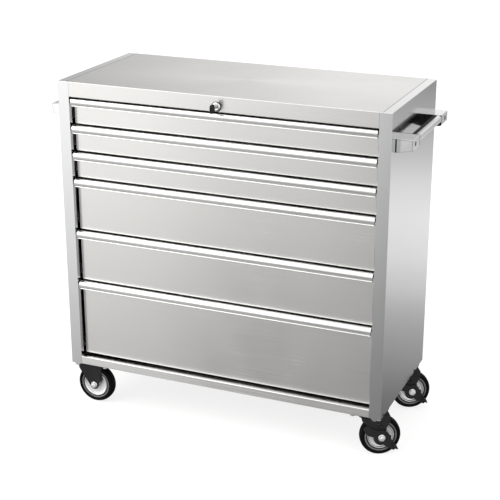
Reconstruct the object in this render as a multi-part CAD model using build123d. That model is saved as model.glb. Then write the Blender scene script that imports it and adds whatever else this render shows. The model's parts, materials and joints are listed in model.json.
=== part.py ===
"""Rolling tool chest: a stainless cabinet with six full-width drawers on ball slides,
a key lock that works a rear lock bar, a push handle on each side and four casters.

The origin is on the floor, at the middle of the whole chest's box, key included.
+X is to the right, +Y to the back and +Z up. Sizes are in millimetres.
"""
import os
from math import cos, radians, sin

from build123d import *

# ---- driving dimensions ----
WIDTH = 1041.0                  # cabinet, side to side
DEPTH = 457.0                   # cabinet, front to back
HEIGHT = 924.0                  # cabinet body without its casters
BASE = 145.0                    # underside of the body above the floor
KEY_REACH = 42.0                # how far the key stands out in front
SHEET = 1.5                     # outer stainless sheet
INNER_SHEET = 1.2               # drawer and back sheet
POST_WIDTH = 36.5               # front face of a side post
STRIP_WIDTH = 27.0              # top edge of a side, beside the top cover
TOP_FOLD = 1.2                  # rounding of the sides' long top edges
SEAM = 1.4                      # gap between the cover and the sides
FASCIA_HEIGHT = 46.0
RAIL_HEIGHT = 26.0

DRAWER_UNIT = 84.2              # height pitch of the shallowest drawer
DRAWER_UNITS = (1, 1, 1, 2, 2, 3)
FIRST_TOP = 872.5               # top of the first pull above the body's underside
DRAWER_GAP = 3.5                # under a front, above the next pull
FRONT_HALF = 479.0              # half the width of a drawer front
RECESS = 22.0                   # drawer fronts sit this far behind the posts
FRONT_FOLD = 14.0               # depth of a drawer front's folded edge

PULL_WALL = 2.2
PULL_PROFILE = (                # depth behind the nose and height below the top
    (36, 0), (6, 0), (1.8, -1.8), (0, -6.5), (0, -11.5), (3, -17.5), (1.2, -23.4),
    (3.4, -24), (5.4, -17.6), (PULL_WALL, -11.5), (PULL_WALL, -6.8), (3.6, -3.6),
    (6.6, -PULL_WALL), (20, -PULL_WALL), (20, -RECESS), (RECESS, -RECESS),
    (RECESS, -PULL_WALL), (36, -PULL_WALL))

SLIDE_HEIGHT = 35.0
SLIDE_LENGTH = 380.0
SLIDE_SHEET = 1.2
SLIDE_PLAY = 0.6                # gap between nested slide members, where the balls run

WHEEL_RADIUS = 62.5
WHEEL_WIDTH = 32.0
CASTER_FROM_FRONT = 49.5        # caster centres behind the body's front face
CASTER_FROM_BACK = 76.5         # caster centres ahead of the body's back face
RIGID_X = -458.0
SWIVEL_X = 468.5
TRAIL = 36.0                    # wheel centre behind the swivel axis
SWIVEL_ANGLE = 31.0             # how far both swivel casters are turned from straight

HANDLE_REACH = 48.0
HANDLE_HALF = 186.0             # half the length over both arms
ARM_WIDTH = 68.0

# ---- derived places ----
HALF = WIDTH / 2
TOP = BASE + HEIGHT
FRONT = (KEY_REACH - DEPTH) / 2
BACK = FRONT + DEPTH
MIDDLE = (FRONT + BACK) / 2
POST_X = HALF - POST_WIDTH
PANEL_FACE = FRONT + RECESS
BOX_FRONT = PANEL_FACE + FRONT_FOLD
BOX_BACK = FRONT + 420.0
SLIDE_FRONT = BOX_FRONT + 2.5
SLIDE_STACK = 12.8              # thickness of one closed slide
BOX_HALF = POST_X - SLIDE_STACK
AXLE_Z = WHEEL_RADIUS
CASTER_ENDS = {"front": FRONT + CASTER_FROM_FRONT, "rear": BACK - CASTER_FROM_BACK}

LOCK_Z = BASE + 893.0
CRANK_RADIUS = 10.0
CRANK_RISE = CRANK_RADIUS * sin(radians(45))
PLUG_RADIUS = 6.0
SHAFT_RADIUS = 4.0
CRANK_PIN = 2.5
LOCK_BAR_Y = FRONT + 436.0
LOCK_BAR_SHEET = 2.0
CATCH_Z = 30.0                  # lock hooks above a drawer box's floor

PLATE = 4.0
PLATE_Z = BASE - PLATE
PLATE_DEPTH = 85.0
RIGID_PLATE = 120.0
SWIVEL_PLATE = 104.0
CROWN_TOP = 133.6
CHEEK_INNER = 19.0
CHEEK_OUTER = 22.0
AXLE_RADIUS = 6.0
RUNNING_FIT = 0.06
BOLT_RADIUS = 4.0
BOLT_HOLE = 4.4
BOLT_Y = 31.0                   # caster bolts from the caster's centre line
RIGID_BOLT_X = 48.0
SWIVEL_BOLT_X = 41.0

LEVER_SHEET = 3.0
LEVER_RING = 23.0
LEVER_ARM = ((-8, 20), (-46, 37), (-54, 31), (-48, 21), (-28, 10), (-18, -12))
LEVER_PEDAL = ((14, 16), (36, -18), (47, -30), (53, -45), (45, -40), (37, -42), (25, -37), (4, -22))
PEDAL_TREAD = ((35, -21), (46, -29), (48, -34), (43, -35), (33, -27))
TREAD_WIDTH = 13.0
FORK_END = 26.0                 # end of the swivel fork's cheek, past the axle
FORK_HOLE = 5.0

SCREW_Y = 158.0                 # handle screws from the cabinet's middle
SCREW_Z = BASE + 827.0
SCREW_RADIUS = 3.0
SCREW_HOLE = 3.3


def block(x0, x1, y0, y1, z0, z1):
    """A box between two corners."""
    size = Box(x1 - x0, y1 - y0, z1 - z0, align=(Align.MIN, Align.MIN, Align.MIN))
    return Pos(x0, y0, z0) * size


def rod(start, length, radius, axis):
    """A cylinder from a point along an axis letter."""
    turn = {"X": Rot(0, 90, 0), "Y": Rot(-90, 0, 0), "Z": Rot(0, 0, 0)}[axis]
    base = (Align.CENTER, Align.CENTER, Align.MIN)
    return Pos(*start) * turn * Cylinder(radius, length, align=base)


def bar_along_x(outline, x0, x1):
    """An outline of (y, z) points run from x0 to x1."""
    face = make_face(Polyline(*outline, close=True))
    return extrude(Plane.YZ.offset(x0) * face, amount=x1 - x0)


def bar_along_y(outline, y0, y1):
    """An outline of (x, z) points run from y0 to y1."""
    face = make_face(Polyline(*outline, close=True))
    return extrude(Plane.XZ.offset(-y1) * face, amount=y1 - y0)


def mirrored(shape):
    """The same piece on the other side of the cabinet."""
    return mirror(shape, about=Plane.YZ)


def group(*solids):
    """Separate solids kept together in one node."""
    return Compound(children=[s for shape in solids for s in shape.solids()])


def along(axis, low, high):
    """A test for edges parallel to an axis whose middle lies between two corners."""
    def keep(edge):
        middle = edge.center()
        inside = all(a - 0.01 <= m <= b + 0.01 for a, m, b in zip(low, middle, high))
        return inside and abs(edge.tangent_at(0.5).dot(axis.direction)) > 0.999
    return keep


# ---- casters: where they bolt on ----
def caster_places():
    """Centre and bolt half-spacing of each caster: rigid pair first."""
    places = []
    for x, half in ((RIGID_X, RIGID_BOLT_X), (SWIVEL_X, SWIVEL_BOLT_X)):
        for y in CASTER_ENDS.values():
            places.append((x, y, half))
    return places


def bolt_points():
    return [(x + sx * half, y + sy * BOLT_Y)
            for x, y, half in caster_places() for sx in (-1, 1) for sy in (-1, 1)]


def with_bolt_holes(shape, left, right):
    """Cut the caster bolt holes whose x lies between left and right."""
    for x, y in bolt_points():
        if left < x < right:
            shape -= rod((x, y, BASE - 10), 20, BOLT_HOLE, "Z")
    return shape


# ---- cabinet ----
def side_sheet():
    """Right side, folded into a box post at the front and the back."""
    inner = POST_X + SHEET
    skin = HALF - SHEET
    return_depth = 60.0
    shape = block(skin, HALF, FRONT, BACK, BASE, TOP)
    shape += block(POST_X, HALF, FRONT, FRONT + SHEET, BASE, TOP)
    shape += block(POST_X, HALF, BACK - SHEET, BACK, BASE, TOP)
    low, high = BASE + SHEET + 0.2, TOP - SHEET - 0.2
    shape += block(POST_X, inner, FRONT, FRONT + return_depth, low, high)
    shape += block(POST_X, inner, BACK - return_depth, BACK, low, high)
    for z in (BASE, TOP - SHEET):
        shape += block(HALF - STRIP_WIDTH, HALF, FRONT, BACK, z, z + SHEET)
    shape += post_tab()
    corner = along(Axis.Z, (HALF, FRONT, BASE), (HALF, BACK, TOP))
    shape = fillet(shape.edges().filter_by(corner), 2.0)
    fold = along(Axis.Y, (HALF, FRONT, TOP), (HALF, BACK, TOP))
    shape = fillet(shape.edges().filter_by(fold), TOP_FOLD)
    for y in (MIDDLE - SCREW_Y, MIDDLE + SCREW_Y):
        shape -= rod((skin - 1, y, SCREW_Z), SHEET + 2, SCREW_HOLE, "X")
    return shape


def post_tab():
    """Rounded end of the post's front sheet, just under the body."""
    centre = HALF - 20.0
    radius = 9.0
    tab = rod((centre, FRONT, BASE + 1), SHEET, radius, "Y")
    return tab - block(centre - radius, centre + radius, FRONT - 1, FRONT + 3, BASE, BASE + 12)


def right_side():
    return with_bolt_holes(side_sheet(), HALF - STRIP_WIDTH, HALF)


def left_side():
    return with_bolt_holes(mirrored(side_sheet()), -HALF, STRIP_WIDTH - HALF)


def top_cover():
    """Top sheet with the lock fascia folded down at the front."""
    wide = HALF - STRIP_WIDTH - SEAM
    between = POST_X - 0.5
    low = TOP - FASCIA_HEIGHT
    shape = block(-wide, wide, FRONT + SHEET + SEAM, BACK - SHEET - SEAM, TOP - SHEET, TOP)
    shape += block(-between, between, FRONT, BACK, TOP - SHEET, TOP)
    shape += block(-between, between, FRONT, FRONT + SHEET, low, TOP)
    shape += block(-between, between, FRONT, FRONT + 14, low, low + SHEET)
    shape += block(-between, between, BACK - SHEET, BACK, TOP - 25, TOP)
    edges = along(Axis.X, (-HALF, FRONT, low), (HALF, FRONT, TOP))
    shape = fillet(shape.edges().filter_by(edges), 1.4)
    return shape - rod((0, FRONT - 1, LOCK_Z), SHEET + 2, 9.6, "Y")


def bottom_pan():
    """Floor of the cabinet, with the front rail and its ledge folded up."""
    wide = HALF - STRIP_WIDTH - SEAM
    between = POST_X - 0.5
    rail = BASE + RAIL_HEIGHT
    shape = block(-wide, wide, FRONT + SHEET + SEAM, BACK - SHEET - SEAM, BASE, BASE + SHEET)
    shape += block(-between, between, FRONT, FRONT + SHEET + SEAM, BASE, BASE + SHEET)
    shape += block(-between, between, FRONT, FRONT + SHEET, BASE, rail)
    shape += block(-between, between, FRONT, FRONT + 30, rail - SHEET, rail)
    shape += block(-between, between, FRONT + 30 - SHEET, FRONT + 30, rail - 12, rail)
    edges = along(Axis.X, (-HALF, FRONT, BASE), (HALF, FRONT, rail))
    shape = fillet(shape.edges().filter_by(edges), 1.4)
    return with_bolt_holes(shape, -wide, wide)


def back_panel():
    """Back sheet with the lock bar's guides and the lock shaft's bracket welded on."""
    face = BACK - INNER_SHEET
    between = POST_X - 0.5
    shape = block(-between, between, face, BACK, BASE + SHEET + 0.5, TOP - 25.5)
    for z in (BASE + 200, BASE + 590):
        shape += guide_ring(face, z)
    return shape + shaft_bracket(face)


def guide_ring(face, z):
    """A flat ring round the lock bar, standing on two feet."""
    inner_x, outer_x, half_height = 26.0, 28.0, 8.0
    front = LOCK_BAR_Y - 0.4
    rear = LOCK_BAR_Y + LOCK_BAR_SHEET + 0.4
    ring = block(-outer_x, outer_x, front - 1.5, rear + 1.5, z - half_height, z + half_height)
    ring -= block(-inner_x, inner_x, front, rear, z - half_height - 1, z + half_height + 1)
    for side in (-1, 1):
        foot = sorted((side * inner_x, side * outer_x))
        ring += block(*foot, rear, face + 0.2, z - half_height, z + half_height)
    return ring


def shaft_bracket(face):
    """Bearing for the rear end of the lock shaft."""
    inner_x, outer_x, half_height = 28.0, 30.0, 12.0
    front = LOCK_BAR_Y - 13.0
    low, high = LOCK_Z - half_height, LOCK_Z + 5.0
    shape = block(-outer_x, outer_x, front, front + 2, low, high)
    for side in (-1, 1):
        arm = sorted((side * inner_x, side * outer_x))
        shape += block(*arm, front, face + 0.2, low, high)
    return shape - rod((0, front - 1, LOCK_Z), 4, SHAFT_RADIUS + RUNNING_FIT, "Y")


# ---- drawers ----
def drawer_levels():
    """Top of the pull and foot of the front for each drawer."""
    levels = []
    top = BASE + FIRST_TOP
    for units in DRAWER_UNITS:
        following = top - units * DRAWER_UNIT
        levels.append((top, following + DRAWER_GAP))
        top = following
    last_top, _ = levels[-1]
    levels[-1] = (last_top, BASE + RAIL_HEIGHT + 7.0)
    return levels


def box_floor(foot):
    return foot + 4.0


def slide_z(foot):
    return box_floor(foot) + 8.0 + SLIDE_HEIGHT / 2


def drawer_pull(top):
    """Full-width pull: flat top, rounded nose, flared lip and a leg on the front's face."""
    places = [(FRONT + y, top + z) for y, z in PULL_PROFILE]
    shape = bar_along_x(places, -FRONT_HALF - 1, FRONT_HALF + 1)
    nose = along(Axis.X, (-HALF, FRONT, top - 12), (HALF, FRONT + 3.1, top))
    shape = fillet(shape.edges().filter_by(nose), 2.0)
    lip = along(Axis.X, (-HALF, FRONT + 2.9, top - 17.6), (HALF, FRONT + 3.1, top - 17.4))
    return fillet(shape.edges().filter_by(lip), 1.2)


def drawer_front(top, foot):
    """Stainless front, folded back all round its edge."""
    high = top - 2.4
    shape = block(-FRONT_HALF, FRONT_HALF, PANEL_FACE, BOX_FRONT, foot, high)
    inner = FRONT_HALF - INNER_SHEET
    shape -= block(-inner, inner, PANEL_FACE + INNER_SHEET, BOX_FRONT + 1,
                   foot + INNER_SHEET, high - INNER_SHEET)
    rim = shape.faces().sort_by(Axis.Y)[0].edges()
    return fillet(rim, 0.9)


def drawer_box(top, foot):
    """Open tray with the lock's catch on its back."""
    floor, rim = box_floor(foot), top - 8.0
    shape = block(-BOX_HALF, BOX_HALF, BOX_FRONT, BOX_BACK, floor, rim)
    inner = BOX_HALF - INNER_SHEET
    shape -= block(-inner, inner, BOX_FRONT + INNER_SHEET, BOX_BACK - INNER_SHEET,
                   floor + INNER_SHEET, rim + 1)
    z = floor + CATCH_Z
    shape += block(18, 20, BOX_BACK - 0.5, BOX_BACK + 11, z - 6, z + 6)
    return shape + block(8, 20, BOX_BACK + 9, BOX_BACK + 11, z - 6, z + 6)


def channel(face_x, depth, height, z):
    """C-channel along Y whose web's outer face is at face_x; negative depth opens left."""
    x0, x1 = sorted((face_x, face_x + depth))
    half = height / 2
    shape = block(x0, x1, SLIDE_FRONT, SLIDE_FRONT + SLIDE_LENGTH, z - half, z + half)
    if depth < 0:
        x1 -= SLIDE_SHEET
    else:
        x0 += SLIDE_SHEET
    inner = half - SLIDE_SHEET
    x0, x1 = (x0 - 1, x1) if depth < 0 else (x0, x1 + 1)
    return shape - block(x0, x1, SLIDE_FRONT - 1, SLIDE_FRONT + SLIDE_LENGTH + 1,
                         z - inner, z + inner)


def outer_channel(foot):
    return channel(POST_X, -10.0, SLIDE_HEIGHT, slide_z(foot))


def middle_rail(foot):
    height = SLIDE_HEIGHT - 2 * (SLIDE_SHEET + SLIDE_PLAY)
    web = POST_X - SLIDE_SHEET - SLIDE_PLAY
    return channel(web, -9.4, height, slide_z(foot))


def inner_rail(foot):
    height = SLIDE_HEIGHT - 4 * (SLIDE_SHEET + SLIDE_PLAY)
    return channel(BOX_HALF, 9.2, height, slide_z(foot))


def pair(shape):
    return group(shape, mirrored(shape))


# ---- lock ----
def lock_housing():
    """Round escutcheon with the lock's barrel behind it."""
    shape = rod((0, FRONT - 4, LOCK_Z), 4, 14.5, "Y")
    rim = shape.edges().sort_by(Axis.Y)[0]
    shape = fillet(rim, 2.5)
    shape += rod((0, FRONT - 0.5, LOCK_Z), 24.5, 9.5, "Y")
    return shape - rod((0, FRONT - 5, LOCK_Z), 40, PLUG_RADIUS + RUNNING_FIT, "Y")


def lock_plug():
    """Turning plug with its keyway."""
    shape = rod((0, FRONT - 3.6, LOCK_Z), 27.6, PLUG_RADIUS, "Y")
    return shape - block(-1.3, 1.3, FRONT - 4, FRONT + 21, LOCK_Z - 3.9, LOCK_Z + 3.9)


def lock_shaft():
    """Torsion shaft from the plug to the back, with a crank and pin at its end."""
    crank_y = LOCK_BAR_Y - 4.5
    shape = rod((0, FRONT + 24, LOCK_Z), crank_y - FRONT - 24, SHAFT_RADIUS, "Y")
    crank = Rot(0, -45, 0) * block(-4, 4, crank_y, crank_y + 2, -4, CRANK_RADIUS + 3)
    shape += Pos(0, 0, LOCK_Z) * crank
    return shape + rod((-CRANK_RISE, crank_y + 1, LOCK_Z + CRANK_RISE), 9, CRANK_PIN, "Y")


def lock_bar():
    """Upright bar at the back with a hook for each drawer and a slot for the crank pin."""
    rear = LOCK_BAR_Y + LOCK_BAR_SHEET
    shape = block(-19, 5, LOCK_BAR_Y, rear, BASE + 50, LOCK_Z + 19)
    slot = CRANK_PIN + 0.7
    shape -= block(-CRANK_RISE - slot, -CRANK_RISE + slot, LOCK_BAR_Y - 1, rear + 1,
                   LOCK_Z + CRANK_RISE - slot, LOCK_Z + CRANK_RADIUS + slot)
    for _, foot in drawer_levels():
        z = box_floor(foot) + CATCH_Z
        hook_front = BOX_BACK + 3
        shape += block(-10, -8, hook_front, LOCK_BAR_Y + 0.5, z - 5, z + 5)
        shape += block(-10, 3, hook_front, hook_front + 2, z - 5, z + 5)
    return shape


def key():
    """Key blade in the keyway and a rounded bow standing upright."""
    blade = block(-1.0, 1.0, FRONT - 14, FRONT + 20, LOCK_Z - 3.5, LOCK_Z + 3.5)
    stem = block(-1.2, 1.2, FRONT - 17, FRONT - 5, LOCK_Z - 5, LOCK_Z + 5)
    bow = block(-2.0, 2.0, FRONT - KEY_REACH, FRONT - 15, LOCK_Z - 11, LOCK_Z + 11)
    bow = fillet(bow.edges().filter_by(Axis.X), 7.0)
    bow -= rod((-3, FRONT - 36, LOCK_Z), 6, 2.5, "X")
    return blade + stem + bow


# ---- handles ----
def handle_arm(low_y):
    """Hollow arm with a sloping underside and a screw recess in its outer end."""
    outer = HALF + HANDLE_REACH
    root_z, tip_z, top_z = BASE + 803.0, BASE + 812.6, BASE + 843.0
    outline = [(HALF, root_z), (outer, tip_z), (outer, top_z), (HALF, top_z)]
    shape = bar_along_y(outline, low_y, low_y + ARM_WIDTH)
    tip = along(Axis.Z, (outer, low_y, tip_z), (outer, low_y + ARM_WIDTH, top_z))
    shape = fillet(shape.edges().filter_by(tip), 2.0)
    wall = 2.5
    shape -= block(HALF - 1, outer - 10, low_y + wall, low_y + ARM_WIDTH - wall,
                   BASE + 815.0, top_z - wall)
    screw_y = MIDDLE + SCREW_Y if low_y > MIDDLE else MIDDLE - SCREW_Y
    shape -= rod((HALF, screw_y, SCREW_Z), HANDLE_REACH + 1, SCREW_HOLE, "X")
    return shape - rod((outer - 5, screw_y, SCREW_Z), 6, 5.5, "X")


def handle_arms():
    front = handle_arm(MIDDLE - HANDLE_HALF)
    rear = handle_arm(MIDDLE + HANDLE_HALF - ARM_WIDTH)
    return group(front, rear, mirrored(front), mirrored(rear))


def handle_bar():
    """Eight-sided grip bar between the arms."""
    inner, outer = HALF + 27.0, HALF + HANDLE_REACH
    low, high, cut = BASE + 821.0, BASE + 843.0, 4.0
    outline = [(inner + cut, low), (outer - cut, low), (outer, low + cut), (outer, high - cut),
               (outer - cut, high), (inner + cut, high), (inner, high - cut), (inner, low + cut)]
    reach = HANDLE_HALF - ARM_WIDTH
    return bar_along_y(outline, MIDDLE - reach, MIDDLE + reach)


def handle_screws():
    """Socket screws that hold the arms to the sides."""
    screws = []
    seat = HALF + HANDLE_REACH - 5
    for y in (MIDDLE - SCREW_Y, MIDDLE + SCREW_Y):
        screw = rod((HALF - 12, y, SCREW_Z), seat - HALF + 12.5, SCREW_RADIUS, "X")
        screw += rod((seat, y, SCREW_Z), 3.5, 5.0, "X")
        screw -= rod((seat + 1.5, y, SCREW_Z), 3, 2.4, "X")
        screws += [screw, mirrored(screw)]
    return group(*screws)


# ---- casters ----
def caster_plate(x, y, length, bolt_x):
    half_depth = PLATE_DEPTH / 2
    plate = block(x - length / 2, x + length / 2, y - half_depth, y + half_depth,
                  PLATE_Z, BASE)
    plate = fillet(plate.edges().filter_by(Axis.Z), 8.0)
    for sx in (-1, 1):
        for sy in (-1, 1):
            hole = (x + sx * bolt_x, y + sy * BOLT_Y, PLATE_Z - 1)
            plate -= rod(hole, PLATE + 2, BOLT_HOLE, "Z")
    return plate


def cheek(outline, axle_x, y0, y1):
    """One side of a fork, with a round boss at the axle."""
    shape = bar_along_y(outline, y0, y1)
    shape += rod((axle_x, y0, AXLE_Z), y1 - y0, 16.0, "Y")
    return shape - rod((axle_x, y0 - 1, AXLE_Z), y1 - y0 + 2, AXLE_RADIUS + 0.1, "Y")


def rigid_fork(y):
    """Fixed caster fork: top plate with two tapering cheeks."""
    shape = caster_plate(RIGID_X, y, RIGID_PLATE, RIGID_BOLT_X)
    outline = [(-38, BASE - 1), (38, BASE - 1), (38, BASE - 14), (15.5, AXLE_Z + 4),
               (-15.5, AXLE_Z + 4), (-38, BASE - 14)]
    places = [(RIGID_X + x, z) for x, z in outline]
    for y0, y1 in ((-CHEEK_OUTER, -CHEEK_INNER), (CHEEK_INNER, CHEEK_OUTER)):
        shape += cheek(places, RIGID_X, y + y0, y + y1)
    return shape


def axle(x, y, head_y):
    """Axle bolt with its head and nut; head_y is where the head's face sits."""
    shape = rod((x, y - head_y, AXLE_Z), head_y + CHEEK_OUTER, AXLE_RADIUS, "Y")
    head = extrude(Plane.XZ * RegularPolygon(9.5, 6), amount=6)
    shape += Pos(x, y - head_y, AXLE_Z) * head
    return shape + Pos(x, y + CHEEK_OUTER + 6, AXLE_Z) * head


def swivel_plate(y):
    """Top plate with the ball race and the kingpin that the fork hangs on."""
    shape = caster_plate(SWIVEL_X, y, SWIVEL_PLATE, SWIVEL_BOLT_X)
    shape += rod((SWIVEL_X, y, CROWN_TOP + 0.4), PLATE_Z - CROWN_TOP, 31.0, "Z")
    shape += rod((SWIVEL_X, y, CROWN_TOP - 5), 8, 8.0, "Z")
    return shape + rod((SWIVEL_X, y, CROWN_TOP - 7), 3.4, 12.0, "Z")


def swivel_fork():
    """Fork about its own swivel axis, trailing towards +X, with its axle."""
    crown_low = CROWN_TOP - 3.2
    end = TRAIL + FORK_END
    shape = rod((0, 0, crown_low), 3.2, 33.0, "Z")
    shape += block(0, end, -CHEEK_OUTER, CHEEK_OUTER, crown_low, CROWN_TOP)
    outline = [(-30, CROWN_TOP), (end, CROWN_TOP), (end, AXLE_Z + 46), (TRAIL + 15, AXLE_Z + 30),
               (TRAIL + 15, AXLE_Z + 4), (TRAIL - 15, AXLE_Z + 4), (-24, CROWN_TOP - 16)]
    for y0, y1 in ((-CHEEK_OUTER, -CHEEK_INNER), (CHEEK_INNER, CHEEK_OUTER)):
        shape += cheek(outline, TRAIL, y0, y1)
    shape -= rod((0, 0, crown_low - 1), 6, 8.0 + RUNNING_FIT, "Z")
    reach = 2 * CHEEK_OUTER
    shape -= rod((TRAIL - 8, -reach / 2 - 1, AXLE_Z + 41), reach + 2, FORK_HOLE, "Y")
    return group(shape, axle(TRAIL, 0, CHEEK_OUTER + 4.0))


def wheel_core():
    """Hub, web and rim about the origin, turning about Y."""
    shape = rod((0, -17, 0), 34, 17.0, "Y")
    shape += rod((0, -5, 0), 10, 42.0, "Y")
    rim = rod((0, -14, 0), 28, 44.0, "Y") - rod((0, -15, 0), 30, 40.0, "Y")
    shape += rim
    return shape - rod((0, -20, 0), 40, AXLE_RADIUS + RUNNING_FIT, "Y")


def tyre():
    """Crowned tread ring about the origin."""
    half = WHEEL_WIDTH / 2
    shape = rod((0, -half, 0), WHEEL_WIDTH, WHEEL_RADIUS, "Y")
    shape = fillet(shape.edges().filter_by(GeomType.CIRCLE), 7.0)
    return shape - rod((0, -half - 1, 0), WHEEL_WIDTH + 2, 44.0, "Y")


def brake_lever():
    """Side brake lever on the axle, about the swivel axis: ring, arm and clawed pedal."""
    near = -CHEEK_OUTER - 0.6
    far = near - LEVER_SHEET
    shape = rod((0, far, 0), LEVER_SHEET, LEVER_RING, "Y")
    shape += bar_along_y(LEVER_ARM, far, near)
    shape += bar_along_y(LEVER_PEDAL, far, near)
    shape += bar_along_y(PEDAL_TREAD, far - TREAD_WIDTH, near)
    shape -= rod((0, far - 1, 0), LEVER_SHEET + 2, AXLE_RADIUS + RUNNING_FIT, "Y")
    return Pos(TRAIL, 0, AXLE_Z) * shape


def caster_bolts():
    """Hex bolts up through the caster plates, each with its nut inside the cabinet."""
    bolts = []
    for x, y in bolt_points():
        head = extrude(RegularPolygon(7.0, 6), amount=5.3)
        bolt = Pos(x, y, PLATE_Z - 5.3) * head
        bolt += rod((x, y, PLATE_Z - 1), PLATE + SHEET + 10, BOLT_RADIUS, "Z")
        bolt += Pos(x, y, BASE + SHEET) * head
        bolts.append(bolt)
    return group(*bolts)


def swivelled(shape, y):
    """Place a piece made about its swivel axis at one of the swivel casters."""
    return Pos(SWIVEL_X, y, 0) * Rot(0, 0, SWIVEL_ANGLE) * shape


def caster_nodes():
    nodes = {}
    for end, y in CASTER_ENDS.items():
        rigid_hub = Pos(RIGID_X, y, AXLE_Z)
        nodes[f"{end}_left_wheel"] = rigid_hub * wheel_core()
        nodes[f"{end}_left_tyre"] = rigid_hub * tyre()
        hub = Pos(TRAIL, 0, AXLE_Z)
        nodes[f"{end}_right_fork"] = swivelled(swivel_fork(), y)
        nodes[f"{end}_right_wheel"] = swivelled(hub * wheel_core(), y)
        nodes[f"{end}_right_tyre"] = swivelled(hub * tyre(), y)
        nodes[f"{end}_brake_lever"] = swivelled(brake_lever(), y)
    ends = CASTER_ENDS.values()
    nodes["rigid_forks"] = group(*[rigid_fork(y) for y in ends])
    nodes["rigid_axles"] = group(*[axle(RIGID_X, y, CHEEK_OUTER) for y in ends])
    nodes["swivel_plates"] = group(*[swivel_plate(y) for y in ends])
    nodes["caster_bolts"] = caster_bolts()
    return nodes


def drawer_nodes():
    nodes = {}
    for number, (top, foot) in enumerate(drawer_levels(), start=1):
        name = f"drawer_{number}"
        nodes[f"{name}_box"] = drawer_box(top, foot)
        nodes[f"{name}_front"] = drawer_front(top, foot)
        nodes[f"{name}_pull"] = drawer_pull(top)
        nodes[f"{name}_inner_rails"] = pair(inner_rail(foot))
        nodes[f"{name}_middle_rails"] = pair(middle_rail(foot))
    return nodes


def cabinet_nodes():
    channels = [outer_channel(foot) for _, foot in drawer_levels()]
    return {
        "left_side": left_side(),
        "right_side": right_side(),
        "back_panel": back_panel(),
        "top_cover": top_cover(),
        "bottom_pan": bottom_pan(),
        "slide_channels": group(*channels, *[mirrored(c) for c in channels]),
        "lock_housing": lock_housing(),
        "lock_plug": lock_plug(),
        "lock_shaft": lock_shaft(),
        "lock_bar": lock_bar(),
        "key": key(),
        "handle_arms": handle_arms(),
        "handle_bars": group(handle_bar(), mirrored(handle_bar())),
        "handle_screws": handle_screws(),
    }


def main():
    os.makedirs("parts", exist_ok=True)
    nodes = {**cabinet_nodes(), **drawer_nodes(), **caster_nodes()}
    for name, shape in nodes.items():
        export_step(shape, f"parts/{name}.step")


main()
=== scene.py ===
"""Looks of the rolling tool chest: finishes for its sheet metal, and finer pulls, casters,
handles, lock and fasteners in place of the plain ones."""
import json
from math import atan2, cos, pi, radians, sin, tan, tau

import bmesh
import bpy
from mathutils import Matrix, Vector


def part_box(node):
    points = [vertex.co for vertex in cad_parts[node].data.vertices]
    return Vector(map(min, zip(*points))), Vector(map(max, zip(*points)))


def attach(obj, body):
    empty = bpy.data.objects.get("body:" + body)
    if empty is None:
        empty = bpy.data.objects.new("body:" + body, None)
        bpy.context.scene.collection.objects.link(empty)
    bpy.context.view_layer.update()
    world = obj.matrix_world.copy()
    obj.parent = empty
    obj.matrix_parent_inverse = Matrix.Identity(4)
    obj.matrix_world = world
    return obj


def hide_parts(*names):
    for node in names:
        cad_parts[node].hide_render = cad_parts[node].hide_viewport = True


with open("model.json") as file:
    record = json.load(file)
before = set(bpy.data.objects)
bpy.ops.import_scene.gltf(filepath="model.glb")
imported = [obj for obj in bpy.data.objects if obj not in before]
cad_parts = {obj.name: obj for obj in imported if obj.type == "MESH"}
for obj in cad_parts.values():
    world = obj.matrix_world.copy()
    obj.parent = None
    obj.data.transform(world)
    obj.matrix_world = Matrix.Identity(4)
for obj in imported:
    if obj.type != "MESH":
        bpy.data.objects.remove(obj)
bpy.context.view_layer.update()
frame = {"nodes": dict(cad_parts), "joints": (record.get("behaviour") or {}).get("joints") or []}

MM = 0.001
JOINTS = {joint["name"]: joint for joint in frame["joints"]}
ENDS = ("front", "rear")
FINISHES = {}
ARM_REACH = 48.0                # handle arms, in millimetres
TRAIL = 36.0                    # swivel caster's hub behind its swivel axis
PLATE_DEPTH, PLATE_SHEET = 85.0, 4.0
RIGID_BOLT_X, SWIVEL_BOLT_X, BOLT_Y = 48.0, 41.0, 31.0
SEAM = 1.4                      # gap between the top cover and a side


# ---- finishes ----
def join(tree, source, output, target, socket):
    tree.links.new(source.outputs[output], target.inputs[socket])


def new_finish(name, colour, metallic, roughness):
    """A material with its shader's plain values set."""
    material = bpy.data.materials.new(name)
    material.use_nodes = True
    material.diffuse_color = (*colour, 1)
    shader = material.node_tree.nodes["Principled BSDF"]
    shader.inputs["Base Color"].default_value = (*colour, 1)
    shader.inputs["Metallic"].default_value = metallic
    shader.inputs["Roughness"].default_value = roughness
    FINISHES[name] = material
    return material.node_tree, shader


def noise(tree, stretch, detail=3.0, rough=0.5, turn=(0, 0, 0)):
    """Noise on the piece's own coordinates, stretched along its grain."""
    place = tree.nodes.new("ShaderNodeTexCoord")
    grid = tree.nodes.new("ShaderNodeMapping")
    grid.inputs["Scale"].default_value = stretch
    grid.inputs["Rotation"].default_value = turn
    made = tree.nodes.new("ShaderNodeTexNoise")
    made.inputs["Scale"].default_value = 1.0
    made.inputs["Detail"].default_value = detail
    made.inputs["Roughness"].default_value = rough
    join(tree, place, "Object", grid, "Vector")
    join(tree, grid, "Vector", made, "Vector")
    return made


def ranged(tree, source, output, low, high, start=0.3, end=0.7):
    """A noise value brought between two values."""
    made = tree.nodes.new("ShaderNodeMapRange")
    made.inputs["From Min"].default_value = start
    made.inputs["From Max"].default_value = end
    made.inputs["To Min"].default_value = low
    made.inputs["To Max"].default_value = high
    join(tree, source, output, made, "Value")
    return made


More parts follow.
